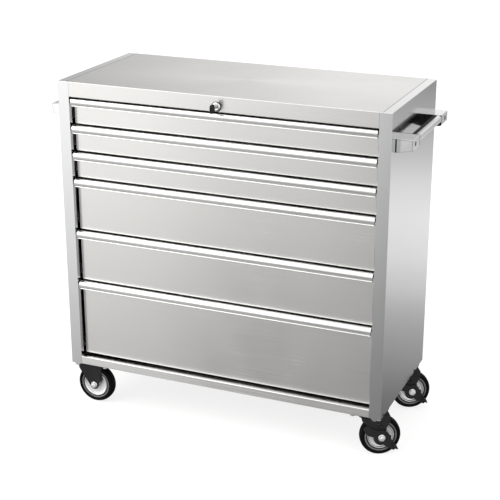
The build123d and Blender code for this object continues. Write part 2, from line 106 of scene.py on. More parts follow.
def tinted(tree, shader, source, dark, light):
    """Base colour that runs between two tones."""
    ramp = tree.nodes.new("ShaderNodeValToRGB")
    ramp.color_ramp.elements[0].position = 0.3
    ramp.color_ramp.elements[1].position = 0.7
    ramp.color_ramp.elements[0].color = (*dark, 1)
    ramp.color_ramp.elements[1].color = (*light, 1)
    join(tree, source, "Fac", ramp, "Fac")
    join(tree, ramp, "Color", shader, "Base Color")


def dented(tree, shader, sources, distance, strength):
    """Surface relief from one or two noises."""
    height = sources[0].outputs["Fac"]
    if len(sources) > 1:
        both = tree.nodes.new("ShaderNodeMath")
        both.operation = "MULTIPLY_ADD"
        both.inputs[1].default_value = 0.5
        tree.links.new(sources[1].outputs["Fac"], both.inputs[0])
        tree.links.new(height, both.inputs[2])
        height = both.outputs[0]
    bump = tree.nodes.new("ShaderNodeBump")
    bump.inputs["Distance"].default_value = distance
    bump.inputs["Strength"].default_value = strength
    tree.links.new(height, bump.inputs["Height"])
    join(tree, bump, "Normal", shader, "Normal")


def brushed_metal(name, colour, roughness, grain, spread=0.05, anisotropy=0.0, relief=0.1,
                  tone=0.03):
    """Metal brushed one way, with cloudy handling marks in its gloss."""
    tree, shader = new_finish(name, colour, 1.0, roughness)
    lines = noise(tree, grain, 4.0, 0.6)
    clouds = noise(tree, (7, 7, 5), 3.0, 0.55)
    dark = [c * (1 - tone) for c in colour]
    light = [min(1.0, c * (1 + tone)) for c in colour]
    tinted(tree, shader, lines, dark, light)
    lines_gloss = ranged(tree, lines, "Fac", roughness - spread, roughness + spread)
    clouds_gloss = ranged(tree, clouds, "Fac", -spread * 0.5, spread * 0.5)
    both = tree.nodes.new("ShaderNodeMath")
    both.operation = "ADD"
    join(tree, lines_gloss, "Result", both, 0)
    join(tree, clouds_gloss, "Result", both, 1)
    join(tree, both, 0, shader, "Roughness")
    shader.inputs["Anisotropic"].default_value = anisotropy
    shader.inputs["Anisotropic Rotation"].default_value = 0.25 if anisotropy else 0.0
    if anisotropy:
        grain_way = tree.nodes.new("ShaderNodeTangent")
        grain_way.direction_type = "RADIAL"
        grain_way.axis = "Z"
        join(tree, grain_way, "Tangent", shader, "Tangent")
    dented(tree, shader, (lines,), 0.0002, relief)


def matt_finish(name, colour, roughness, grain_size, distance, strength, specular=0.5,
                gloss=0.08, tone=0.25):
    """Powder coat, plastic or rubber: fine grain with a slight change of tone and gloss."""
    tree, shader = new_finish(name, colour, 0.0, roughness)
    shader.inputs["Specular IOR Level"].default_value = specular
    grains = noise(tree, (grain_size,) * 3, 2.0, 0.5)
    clouds = noise(tree, (14,) * 3, 3.0, 0.6)
    dark = [c * (1 - tone) for c in colour]
    light = [c * (1 + tone) for c in colour]
    tinted(tree, shader, clouds, dark, light)
    gloss_map = ranged(tree, clouds, "Fac", roughness - gloss, roughness + gloss)
    join(tree, gloss_map, "Result", shader, "Roughness")
    dented(tree, shader, (grains, clouds), distance, strength)
    return shader


def make_finishes():
    steel = (0.63, 0.625, 0.615)
    brushed_metal("brushed_front", steel, 0.23, (3, 1100, 1100), 0.04, 0.6, 0.05, 0.02)
    brushed_metal("brushed_rail", (0.74, 0.735, 0.725), 0.24, (3, 900, 900), 0.04, 0.5, 0.05)
    brushed_metal("brushed_top", steel, 0.25, (3, 1100, 1100), 0.04, 0.5, 0.06)
    brushed_metal("polished_side", (0.62, 0.625, 0.635), 0.13, (700, 700, 3), 0.02, 0.0, 0.02,
                  0.01)
    brushed_metal("polished_arm", (0.72, 0.72, 0.73), 0.17, (500, 3, 500), 0.03, 0.0, 0.03, 0.02)
    brushed_metal("pull_aluminium", (0.91, 0.91, 0.905), 0.22, (2, 900, 900), 0.04, 0.3, 0.04,
                  0.02)
    brushed_metal("bar_aluminium", (0.74, 0.74, 0.75), 0.20, (700, 2, 700), 0.05, 0.0, 0.05)
    brushed_metal("zinc_plate", (0.68, 0.69, 0.70), 0.30, (60, 60, 60), 0.08, 0.0, 0.08)
    brushed_metal("wheel_zinc", (0.78, 0.78, 0.785), 0.40, (90, 90, 90), 0.08, 0.0, 0.08)
    brushed_metal("chrome", (0.62, 0.62, 0.63), 0.10, (200, 200, 200), 0.03, 0.0, 0.02)
    matt_finish("black_powder_coat", (0.012, 0.0125, 0.0125), 0.44, 1500, 0.0002, 0.25, 0.14)
    matt_finish("black_box_coat", (0.022, 0.022, 0.023), 0.42, 900, 0.0002, 0.18, 0.35)
    matt_finish("black_plastic", (0.006, 0.006, 0.0063), 0.40, 2200, 0.0001, 0.20, 0.16)
    matt_finish("black_rubber", (0.0025, 0.0025, 0.0026), 0.50, 1400, 0.0003, 0.35, 0.04)
    matt_finish("grey_ring", (0.10, 0.10, 0.103), 0.34, 900, 0.0002, 0.20, 0.4)
    # Near black for painted shade in the wheel gaps, screw wells and arm seams, and a painted dark
    # reflection on the lock's rim.
    matt_finish("dark_recess", (0.004, 0.004, 0.004), 0.60, 1200, 0.0002, 0.20, 0.1)


# ---- mesh making, in millimetres ----
def lathe(profile, steps=72):
    """A closed outline of (radius, place along the axle) turned about Y."""
    shape = bmesh.new()
    rings = []
    for radius, along in profile:
        if radius == 0:
            rings.append([shape.verts.new((0, along, 0))])
            continue
        turns = [tau * k / steps for k in range(steps)]
        rings.append([shape.verts.new((radius * cos(t), along, radius * sin(t))) for t in turns])
    pairs = list(zip(rings, rings[1:] + rings[:1]))
    for first, second in pairs:
        if len(first) == 1 and len(second) == 1:
            continue
        for k in range(steps):
            after = (k + 1) % steps
            corners = [first[k % len(first)], first[after % len(first)],
                       second[after % len(second)], second[k % len(second)]]
            corners = list(dict.fromkeys(corners))
            shape.faces.new(corners)
    bmesh.ops.recalc_face_normals(shape, faces=shape.faces)
    return shape


def rounded(points, radius, steps=5):
    """An outline whose corners are rounded; a third value on a point is its own radius."""
    made = []
    count = len(points)
    for index, point in enumerate(points):
        here = Vector(point[:2])
        before = Vector(points[index - 1][:2]) - here
        after = Vector(points[(index + 1) % count][:2]) - here
        size = point[2] if len(point) > 2 else radius
        angle = before.angle(after)
        if size == 0 or angle > pi - 0.05:
            made.append(here)
            continue
        reach = min(size / tan(angle / 2), before.length * 0.48, after.length * 0.48)
        size = reach * tan(angle / 2)
        middle = here + (before.normalized() + after.normalized()).normalized() * (
            size / sin(angle / 2))
        start = here + before.normalized() * reach - middle
        end = here + after.normalized() * reach - middle
        turn = atan2(start.x * end.y - start.y * end.x, start.dot(end))
        for k in range(steps + 1):
            bend = turn * k / steps
            made.append(middle + Vector((start.x * cos(bend) - start.y * sin(bend),
                                         start.x * sin(bend) + start.y * cos(bend))))
    return made


def circle(x, z, radius, steps=24):
    return [Vector((x + radius * cos(tau * k / steps), z + radius * sin(tau * k / steps)))
            for k in range(steps)]


def cut_sheet(outlines, low, high, bevel=0.5, plane="XZ"):
    """Flat outline, with holes, given a thickness and softened edges."""
    flat = bpy.data.curves.new("cut_sheet", "CURVE")
    flat.dimensions = "2D"
    flat.fill_mode = "BOTH"
    flat.extrude = (high - low) / 2 - bevel
    flat.bevel_depth = bevel
    flat.bevel_resolution = 2
    flat.offset = -bevel
    for outline in outlines:
        line = flat.splines.new("POLY")
        line.points.add(len(outline) - 1)
        for corner, point in zip(line.points, outline):
            corner.co = (point[0], point[1], 0, 1)
        line.use_cyclic_u = True
    holder = bpy.data.objects.new("cut_sheet", flat)
    bpy.context.scene.collection.objects.link(holder)
    found = bpy.context.evaluated_depsgraph_get()
    mesh = bpy.data.meshes.new_from_object(holder.evaluated_get(found))
    bpy.data.objects.remove(holder)
    bpy.data.curves.remove(flat)
    shape = bmesh.new()
    shape.from_mesh(mesh)
    bpy.data.meshes.remove(mesh)
    turn = {"XZ": Matrix.Rotation(pi / 2, 4, "X"), "XY": Matrix.Identity(4),
            "YZ": Matrix.Rotation(pi / 2, 4, "Z") @ Matrix.Rotation(pi / 2, 4, "X")}[plane]
    way = {"XZ": (0, 1, 0), "XY": (0, 0, 1), "YZ": (1, 0, 0)}[plane]
    middle = Vector(way) * (low + high) / 2
    bmesh.ops.transform(shape, matrix=Matrix.Translation(middle) @ turn, verts=shape.verts)
    bmesh.ops.remove_doubles(shape, verts=shape.verts, dist=0.01)
    bmesh.ops.recalc_face_normals(shape, faces=shape.faces)
    return shape


def soft_box(x0, x1, y0, y1, z0, z1, bevel=0.8, steps=2):
    """A block between two corners with rounded edges."""
    shape = bmesh.new()
    bmesh.ops.create_cube(shape, size=1.0)
    size = Matrix.Diagonal((x1 - x0, y1 - y0, z1 - z0, 1))
    place = Matrix.Translation(((x0 + x1) / 2, (y0 + y1) / 2, (z0 + z1) / 2))
    bmesh.ops.transform(shape, matrix=place @ size, verts=shape.verts)
    bmesh.ops.bevel(shape, geom=shape.edges[:], offset=bevel, segments=steps, affect="EDGES",
                    profile=0.5)
    return shape


def joined(*shapes):
    """Several shapes put into one."""
    whole = bmesh.new()
    for shape in shapes:
        mesh = bpy.data.meshes.new("part")
        shape.to_mesh(mesh)
        whole.from_mesh(mesh)
        bpy.data.meshes.remove(mesh)
        shape.free()
    return whole


def moved(shape, matrix):
    bmesh.ops.transform(shape, matrix=matrix, verts=shape.verts)
    if matrix.determinant() < 0:
        bmesh.ops.reverse_faces(shape, faces=shape.faces)
    return shape


def evenly_shaded(name, mesh, sharp):
    """Smooth rounded edges without shading the flats beside them."""
    mesh.polygons.foreach_set("use_smooth", [True] * len(mesh.polygons))
    mesh.set_sharp_from_angle(angle=radians(sharp))
    holder = bpy.data.objects.new(name, mesh)
    bpy.context.scene.collection.objects.link(holder)
    flats = holder.modifiers.new("flats", "WEIGHTED_NORMAL")
    flats.keep_sharp = True
    found = bpy.context.evaluated_depsgraph_get()
    result = bpy.data.meshes.new_from_object(holder.evaluated_get(found))
    bpy.data.objects.remove(holder)
    return result


def add_piece(name, mesh, finish, body, stands_for=(), sharp=32):
    """Put a finished mesh, in metres, on its body."""
    mesh = evenly_shaded(name, mesh, sharp)
    mesh.materials.clear()
    mesh.materials.append(FINISHES[finish])
    piece = bpy.data.objects.new(name, mesh)
    bpy.context.scene.collection.objects.link(piece)
    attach(piece, body)
    if stands_for:
        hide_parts(*stands_for)
    return piece


def piece(name, shape, finish, body, slot, stands_for=(), place=Matrix.Identity(4), sharp=32):
    """Put a shape in millimetres on its body, at a place in metres."""
    moved(shape, place @ Matrix.Scale(MM, 4))
    mesh = bpy.data.meshes.new(name)
    shape.to_mesh(mesh)
    shape.free()
    return add_piece(name, mesh, finish, body, stands_for, sharp)


# ---- geometry nodes ----
class Recipe:
    """A geometry node tree with named sizes, run on a mesh of starting points or lines."""

    def __init__(self, name, sizes):
        self.tree = bpy.data.node_groups.new(name, "GeometryNodeTree")
        face = self.tree.interface
        face.new_socket("Geometry", in_out="INPUT", socket_type="NodeSocketGeometry")
        for size_name, value in sizes.items():
            kind = "NodeSocketInt" if isinstance(value, int) else "NodeSocketFloat"
            socket = face.new_socket(size_name, in_out="INPUT", socket_type=kind)
            socket.default_value = value
        face.new_socket("Finish", in_out="INPUT", socket_type="NodeSocketMaterial")
        face.new_socket("Geometry", in_out="OUTPUT", socket_type="NodeSocketGeometry")
        self.start = self.tree.nodes.new("NodeGroupInput")
        self.end = self.tree.nodes.new("NodeGroupOutput")

    def node(self, kind, **values):
        """Add a node; a value may be a plain value or another node's output socket."""
        made = self.tree.nodes.new(kind)
        for name, value in values.items():
            if hasattr(made, name) and name not in made.inputs:
                setattr(made, name, value)
        for name, value in values.items():
            label = name.replace("_", " ")
            target = made.inputs.get(label)
            if target is None:
                continue
            if isinstance(value, bpy.types.NodeSocket):
                self.tree.links.new(value, target)
            else:
                target.default_value = value
        return made

    def math(self, operation, first, second=0.0):
        made = self.tree.nodes.new("ShaderNodeMath")
        made.operation = operation
        for index, value in enumerate((first, second)):
            if isinstance(value, bpy.types.NodeSocket):
                self.tree.links.new(value, made.inputs[index])
            else:
                made.inputs[index].default_value = value
        return made.outputs[0]

    def vector(self, x=0.0, y=0.0, z=0.0):
        return self.node("ShaderNodeCombineXYZ", X=x, Y=y, Z=z).outputs[0]

    def size(self, name):
        return self.start.outputs[name]

    def close(self, geometry):
        """Realise the copies and give them their finish."""
        real = self.node("GeometryNodeRealizeInstances", Geometry=geometry)
        done = self.node("GeometryNodeSetMaterial", Geometry=real.outputs[0],
                         Material=self.size("Finish"))
        self.tree.links.new(done.outputs[0], self.end.inputs[0])

    def run(self, name, mesh, finish, **sizes):
        """The mesh that the recipe makes from a starting mesh."""
        holder = bpy.data.objects.new(name, mesh)
        bpy.context.scene.collection.objects.link(holder)
        made = holder.modifiers.new(name, "NODES")
        made.node_group = self.tree
        for item in self.tree.interface.items_tree:
            if item.in_out != "INPUT":
                continue
            if item.name == "Finish":
                made[item.identifier] = FINISHES[finish]
            elif item.name.replace(" ", "_").lower() in sizes:
                made[item.identifier] = sizes[item.name.replace(" ", "_").lower()]
        found = bpy.context.evaluated_depsgraph_get()
        result = bpy.data.meshes.new_from_object(holder.evaluated_get(found))
        holder.modifiers.clear()
        bpy.data.objects.remove(holder)
        return result


def points_mesh(name, points):
    mesh = bpy.data.meshes.new(name)
    mesh.from_pydata([tuple(p) for p in points], [], [])
    return mesh


def loop_mesh(name, points):
    """A closed line through points, drawn in the XY plane."""
    count = len(points)
    mesh = bpy.data.meshes.new(name)
    edges = [(k, (k + 1) % count) for k in range(count)]
    mesh.from_pydata([(p[0], p[1], 0) for p in points], edges, [])
    return mesh


def section_recipe():
    """A section run along X between two ends."""
    recipe = Recipe("section_along_x", {"Left": -0.5, "Right": 0.5, "Corner": 0.001,
                                        "Corner Steps": 4})
    line = recipe.node("GeometryNodeMeshToCurve", Mesh=recipe.start.outputs["Geometry"])
    soft = recipe.node("GeometryNodeFilletCurve", mode="POLY", Curve=line.outputs[0],
                       Count=recipe.size("Corner Steps"), Radius=recipe.size("Corner"))
    soft.inputs["Limit Radius"].default_value = True
    path = recipe.node("GeometryNodeCurvePrimitiveLine", Start=recipe.vector(recipe.size("Left")),
                       End=recipe.vector(recipe.size("Right")))
    run = recipe.node("GeometryNodeCurveToMesh", Curve=path.outputs[0])
    recipe.tree.links.new(soft.outputs[0], run.inputs["Profile Curve"])
    run.inputs["Fill Caps"].default_value = True
    recipe.close(run.outputs[0])
    return recipe


def hex_bolt_recipe():
    """A hexagon head with a round washer on every point, its head down."""
    recipe = Recipe("hex_bolts", {"Head Radius": 0.0072, "Head Height": 0.0053,
                                  "Washer Radius": 0.0088, "Washer Height": 0.0012})
    head = recipe.node("GeometryNodeMeshCylinder", Vertices=6, Radius=recipe.size("Head Radius"),
                       Depth=recipe.size("Head Height"))
    dome = recipe.node("GeometryNodeMeshCone", Vertices=6, Radius_Bottom=recipe.size("Head Radius"),
                       Radius_Top=recipe.math("MULTIPLY", recipe.size("Head Radius"), 0.82),
                       Depth=recipe.math("MULTIPLY", recipe.size("Head Height"), 0.2))
    washer = recipe.node("GeometryNodeMeshCylinder", Vertices=28,
                         Radius=recipe.size("Washer Radius"), Depth=recipe.size("Washer Height"))
    washer_down = recipe.math("MULTIPLY", recipe.size("Washer Height"), -0.5)
    half = recipe.math("MULTIPLY", recipe.size("Head Height"), -0.5)
    head_down = recipe.math("SUBTRACT", half, recipe.size("Washer Height"))
    dome_down = recipe.math("SUBTRACT", head_down, recipe.math(
        "MULTIPLY", recipe.size("Head Height"), 0.5))
    placed = []
    for part, down, turn in ((head, head_down, 0.0), (washer, washer_down, 0.0),
                             (dome, dome_down, pi)):
        shift = recipe.node("GeometryNodeTransform", Geometry=part.outputs["Mesh"],
                            Translation=recipe.vector(z=down))
        shift.inputs["Rotation"].default_value = (turn, 0, 0)
        placed.append(shift.outputs[0])
    whole = recipe.node("GeometryNodeJoinGeometry")
    for part in placed:
        recipe.tree.links.new(part, whole.inputs[0])
    copies = recipe.node("GeometryNodeInstanceOnPoints", Points=recipe.start.outputs["Geometry"],
                         Instance=whole.outputs[0])
    recipe.close(copies.outputs[0])
    return recipe


def socket_screw_recipe():
    """A socket screw head on every point, facing along +X, with a hollow hexagon."""
    recipe = Recipe("socket_screws", {"Head Radius": 0.0046, "Head Height": 0.0030,
                                      "Socket Radius": 0.0024})
    ring = recipe.node("GeometryNodeCurvePrimitiveCircle", Resolution=28,
                       Radius=recipe.size("Head Radius"))
    socket = recipe.node("GeometryNodeCurvePrimitiveCircle", Resolution=6,
                         Radius=recipe.size("Socket Radius"))
    both = recipe.node("GeometryNodeJoinGeometry")
    recipe.tree.links.new(ring.outputs[0], both.inputs[0])
    recipe.tree.links.new(socket.outputs[0], both.inputs[0])
    face = recipe.node("GeometryNodeFillCurve", Curve=both.outputs[0])
    thick = recipe.node("GeometryNodeExtrudeMesh", Mesh=face.outputs[0],
                        Offset_Scale=recipe.size("Head Height"))
    thick.inputs["Individual"].default_value = False
    floor = recipe.node("GeometryNodeFillCurve", Curve=ring.outputs[0])
    whole = recipe.node("GeometryNodeJoinGeometry")
    recipe.tree.links.new(thick.outputs[0], whole.inputs[0])
    recipe.tree.links.new(floor.outputs[0], whole.inputs[0])
    turned = recipe.node("GeometryNodeTransform", Geometry=whole.outputs[0])
    turned.inputs["Rotation"].default_value = (0, pi / 2, 0)
    copies = recipe.node("GeometryNodeInstanceOnPoints", Points=recipe.start.outputs["Geometry"],
                         Instance=turned.outputs[0])
    recipe.close(copies.outputs[0])
    return recipe


def rib_recipe():
    """Rounded ribs set side by side along Y, each a short bar along X or Z."""
    recipe = Recipe("grip_ribs", {"Length": 0.2, "Pitch": 0.004, "Rib Width": 0.0022,
                                  "Rib Length": 0.012, "Rib Height": 0.0012})
    count = recipe.math("FLOOR", recipe.math("DIVIDE", recipe.size("Length"),
                                             recipe.size("Pitch")))
    rib = recipe.node("GeometryNodeMeshCube",
                      Size=recipe.vector(recipe.size("Rib Length"), recipe.size("Rib Width"),
                                         recipe.size("Rib Height")))
    row = recipe.node("GeometryNodeMeshLine", Count=count,
                      Offset=recipe.vector(y=recipe.size("Pitch")))
    back = recipe.math("MULTIPLY", recipe.size("Length"), -0.5)
    centred = recipe.node("GeometryNodeTransform", Geometry=row.outputs[0],
                          Translation=recipe.vector(y=back))
    rows = recipe.node("GeometryNodeInstanceOnPoints", Points=centred.outputs[0],
                       Instance=rib.outputs["Mesh"])
    copies = recipe.node("GeometryNodeInstanceOnPoints", Points=recipe.start.outputs["Geometry"],
                         Instance=rows.outputs[0])
    recipe.close(copies.outputs[0])
    return recipe


# ---- pulls ----
PULL_SECTION = (                # millimetres behind the nose and below the top
    (36, 0), (34.6, 0), (33.8, -0.9), (32.2, -0.9), (31.4, 0), (6.6, 0), (3.6, -0.8),
    (1.5, -2.6), (0.4, -5.4), (0, -8.8), (0.2, -12.0), (0.8, -15.0), (1.8, -17.8),
    (3.0, -20.0), (4.2, -21.4), (5.0, -21.9), (4.4, -22.3), (4.0, -22.9), (4.3, -23.9),
    (5.4, -24.2), (7.2, -22.4), (6.0, -20.0), (4.4, -17.0), (3.0, -14.4), (2.3, -11.6),
    (2.2, -8.6), (2.7, -5.8), (4.4, -3.4), (7.2, -2.2), (20, -2.2), (20, -22), (22, -22),
    (22, -2.2), (36, -2.2))


def make_pulls():
    recipe = section_recipe()
    for number in range(1, 7):
        node = f"drawer_{number}_pull"
        low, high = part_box(node)
        loop = [(-(low.y + y * MM), -(high.z + z * MM)) for y, z in PULL_SECTION]
        name = f"drawer_{number}_pull_run"
        mesh = recipe.run(name, loop_mesh(name, loop), "pull_aluminium", left=low.x + 0.0012,
                          right=high.x - 0.0012, corner=0.0006, corner_steps=3)
        add_piece(name, mesh, "pull_aluminium", f"drawer_{number}", (node,), 40)
        ends = []
        cap = [(36, 0.5), (6, 0.5), (0.8, -2.4), (-0.4, -8.6), (0.4, -15), (2.6, -20.4),
               (3.8, -24.4), (5.6, -24.8), (8.0, -22.0), (5.0, -9.0), (8, -4.0), (18, -3.0),
               (18, -22.4), (22.2, -22.4), (22.2, -2.6), (36, -2.6)]
        cap = rounded(cap, 0.8, 3)
        for left in (low.x / MM, high.x / MM - 1.6):
            ends.append(cut_sheet([cap], left, left + 1.6, 0.3, "YZ"))
        place = Matrix.Translation((0, low.y, high.z))
        piece(f"drawer_{number}_pull_ends", joined(*ends), "pull_aluminium",
              f"drawer_{number}", "pull_aluminium", (), place)


def make_drawer_panels():
    """Drawer fronts as shallow pans with rolled edges."""
    for number in range(1, 7):
        node = f"drawer_{number}_front"
        low, high = (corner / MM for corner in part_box(node))
        shape = bmesh.new()
        bmesh.ops.create_cube(shape, size=1.0)
        size = Matrix.Diagonal((*(high - low), 1))
        moved(shape, Matrix.Translation((low + high) / 2) @ size)
        face = [e for e in shape.edges if all(abs(v.co.y - low.y) < 0.01 for v in e.verts)]
        bmesh.ops.bevel(shape, geom=face, offset=2.6, segments=5, affect="EDGES", profile=0.5)
        back = [f for f in shape.faces if abs(f.calc_center_median().y - high.y) < 0.01]
        bmesh.ops.inset_region(shape, faces=back, thickness=1.2, depth=0)
        bmesh.ops.translate(shape, verts=list({v for f in back for v in f.verts}),
                            vec=(0, -(high.y - low.y) + 3.0, 0))
        piece(f"drawer_{number}_front_pan", shape, "brushed_front", f"drawer_{number}",
              "brushed_stainless", (node,), sharp=30)


def make_seam_shade_strips():
    """Black strips in the two long gaps of the top: painted shade in the seams."""
    low, high = (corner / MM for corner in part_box("top_cover"))
    strips = []
    for way in (-1, 1):
        left, right = sorted((way * high.x, way * (high.x + SEAM)))
        strips.append(soft_box(left, right, low.y + 2, high.y - 2, high.z - 1.6, high.z - 0.2,
                               0.15, 1))
    piece("top_seam_strips", joined(*strips), "black_rubber", "cabinet", "black_rubber")


# ---- casters ----
def hub_place(joint):
    """Wheel's own frame: origin at the hub, Y along the axle, Z up."""
    axle = Vector(JOINTS[joint]["axis"]).normalized()
    up = Vector((0, 0, 1))
    ahead = axle.cross(up).normalized()
    turn = Matrix((ahead, axle, up)).transposed().to_4x4()
    return Matrix.Translation(JOINTS[joint]["pos_m"]) @ turn


TYRE_SECTION = ((49.3, -12.6), (51.2, -14.6), (54.0, -15.6), (57.4, -15.4), (60.2, -13.4),
                (61.7, -9.6), (62.35, -5.0), (62.5, 0), (62.35, 5.0), (61.7, 9.6), (60.2, 13.4),
                (57.4, 15.4), (54.0, 15.6), (51.2, 14.6), (49.3, 12.6), (48.6, 0))
RING_SECTION = ((44.4, -12.4), (44.9, -14.4), (46.4, -15.3), (48.2, -15.2), (49.4, -13.9),
                (49.7, -12.0), (49.7, 12.0), (49.4, 13.9), (48.2, 15.2), (46.4, 15.3),
                (44.9, 14.4), (44.4, 12.4))
GAP_SHADE_SECTION = ((40.6, -11.6), (44.8, -11.6), (44.8, 11.6), (40.6, 11.6))
DISC_SECTION = ((6.3, -16.8), (11.5, -16.8), (12.8, -15.6), (13.4, -12.4), (15.2, -10.6),
                (20.0, -9.8), (30.0, -9.6), (35.6, -10.4), (37.2, -12.6), (38.6, -13.8),
                (40.4, -13.9), (41.0, -13.0), (41.0, 13.0), (40.4, 13.9), (38.6, 13.8),
                (37.2, 12.6), (35.6, 10.4), (30.0, 9.6), (20.0, 9.8), (15.2, 10.6), (13.4, 12.4),
                (12.8, 15.6), (11.5, 16.8), (6.3, 16.8))


def make_wheel(end, side):
    body = f"{end}_{side}_wheel"
    place = hub_place(f"{end}_{side}_roll")
    piece(f"{body}_disc", lathe(DISC_SECTION), "wheel_zinc", body, "zinc_plate", (body,), place, 25)
    # A near-black band filling the gap between the disc and the ring: painted shade in the gap.
    piece(f"{body}_gap", lathe(GAP_SHADE_SECTION), "dark_recess", body, "black_rubber", (), place)
    piece(f"{body}_ring", lathe(RING_SECTION), "grey_ring", body, "black_rubber", (), place)
    piece(f"{end}_{side}_tread", lathe(TYRE_SECTION, 96), "black_rubber", body, "black_rubber",
          (f"{end}_{side}_tyre",), place)


def axle_end(along, way, thickness=6.0):
    """Hexagon nut with a washer and a rounded bolt end on the axle, outwards one way."""
    nut = cut_sheet([circle(0, 0, 9.6, 6)], 0, thickness, 0.7)
    washer = lathe(((0, -0.2), (10.6, -0.2), (10.9, 0.2), (10.9, 1.0), (10.6, 1.4), (0, 1.4)), 36)
    tip = lathe(((0, 0), (5.6, 0), (5.6, thickness + 1.6), (4.6, thickness + 2.6),
                 (0, thickness + 2.8)), 28)
    shape = joined(moved(nut, Matrix.Translation((0, 1.2, 0))), washer, tip)
    turn = Matrix.Scale(way, 4, (0, 1, 0))
    return moved(shape, Matrix.Translation((0, along, 0)) @ turn)


RIGID_CHEEK = ((-58, 80, 3), (25, 80, 3), (26, 62, 14), (23, 30, 30), (17.5, 0, 14),
               (9, -14.6, 12), (-9, -14.6, 12), (-18, -1, 10), (-54, 52, 16))
SWIVEL_CHEEK = ((-64, 70.5, 3), (25.5, 70.5, 3), (25.5, 47, 5), (15.5, 30, 12), (16, 0, 14),
                (9, -13.6, 12), (-9, -13.6, 12), (-17, 2, 10), (-27, 24, 18), (-60, 56, 8))


def make_rigid_fork():
    """Fork of a fixed caster: two formed cheeks under a folded crown."""
    parts = []
    for way in (-1, 1):
        outline = rounded(RIGID_CHEEK, 6)
        cheek = cut_sheet([outline, circle(0, 0, 6.4)], 19.0, 22.2, 0.7)
        rim = cut_sheet([circle(0, 0, 15.4, 40), circle(0, 0, 11.4, 32)], 21.6, 23.0, 0.5)
        for shape in (cheek, rim):
            parts.append(moved(shape, Matrix.Scale(way, 4, (0, 1, 0))))
        edge = soft_box(23.0, 26.0, 13.5, 21.4, 46, 78, 1.2)
        parts.append(moved(edge, Matrix.Scale(way, 4, (0, 1, 0))))
    parts.append(soft_box(-57, 25, -22.2, 22.2, 75.5, 79.0, 1.2))
    return joined(*parts)


def caster_plate_shape(length, depth, bolts, bolt_y):
    """Top plate with rounded corners and four bolt holes, at its own middle."""
    half, deep = length / 2, depth / 2
    outline = rounded([(-half, -deep), (half, -deep), (half, deep), (-half, deep)], 8.0, 6)
    holes = [circle(sx * bolts, sy * bolt_y, 4.5, 18) for sx in (-1, 1) for sy in (-1, 1)]
    return cut_sheet([outline, *holes], 0, PLATE_SHEET, 0.6, "XY")


def make_swivel_fork():
    """Fork of a swivel caster in its wheel's frame: cheeks, crown and folded edges."""
    parts = []
    for way in (-1, 1):
        outline = rounded(SWIVEL_CHEEK, 6)
        cheek = cut_sheet([outline, circle(0, 0, 6.4), circle(-8, 41, 4.8, 24)], 19.0, 22.0, 0.7)
        swage = cut_sheet([circle(-8, 41, 8.4, 32), circle(-8, 41, 5.4, 24)], 21.4, 22.6, 0.5)
        fold = cut_sheet([rounded([(-31, 22), (-27, 22), (-26, 68), (-34, 68)], 1.5, 3)],
                         21.0, 22.6, 0.6)
        for shape in (cheek, swage, fold):
            parts.append(moved(shape, Matrix.Scale(way, 4, (0, 1, 0))))
    crown = lathe(((8.4, 0), (33, 0), (34, 1.0), (34, 2.8), (33, 3.4), (8.4, 3.4)), 64)
    stand = Matrix.Translation((-TRAIL, 0, 67.4)) @ Matrix.Rotation(pi / 2, 4, "X")
    parts.append(moved(crown, stand))
    parts.append(soft_box(-TRAIL, 25.5, -21.6, 21.6, 67.6, 70.8, 1.0))
    return joined(*parts)


def make_brake_lever():
    """Brake lever in its wheel's frame: a broken ring, an arm and a clawed pedal."""
    ring = circle(0, 0, 24.5, 48)
    arm = rounded([(-8, 22), (-30, 32, 8), (-46, 42, 4), (-57, 33, 5), (-52, 20, 6),
                   (-40, 8, 10), (-26, 4, 6), (-16, 8)], 1.5)
    pedal = rounded([(17, 12), (28, -2, 4), (34, -14, 8), (46, -27, 8), (54, -46, 1.6),
                     (45, -38.5, 3), (38, -43.5, 1.6), (25, -37, 8), (8, -25, 6),
                     (2, -12)], 1.5)
    hook = rounded([(-6, -12), (-15, -11, 3), (-13, -21, 3), (-2, -24)], 1.5)
    tab = rounded([(20, 8), (29, 6, 1.5), (29, -1, 1.5), (20, -6)], 1.0)
    parts = [cut_sheet([ring, circle(0, 0, 11.2, 40)], -27.4, -23.0, 0.8)]
    for outline, low, high in ((arm, -27.0, -23.2), (pedal, -27.8, -23.2),
                               (hook, -27.0, -23.4), (tab, -26.8, -23.4)):
        parts.append(cut_sheet([outline], low, high, 0.8))
    tread = rounded([(34, -18, 2), (46, -27, 3), (48, -34, 2), (43, -36, 2), (33, -24, 2)], 1.5)
    parts.append(cut_sheet([tread], -38, -24, 1.0))
    return joined(*parts)


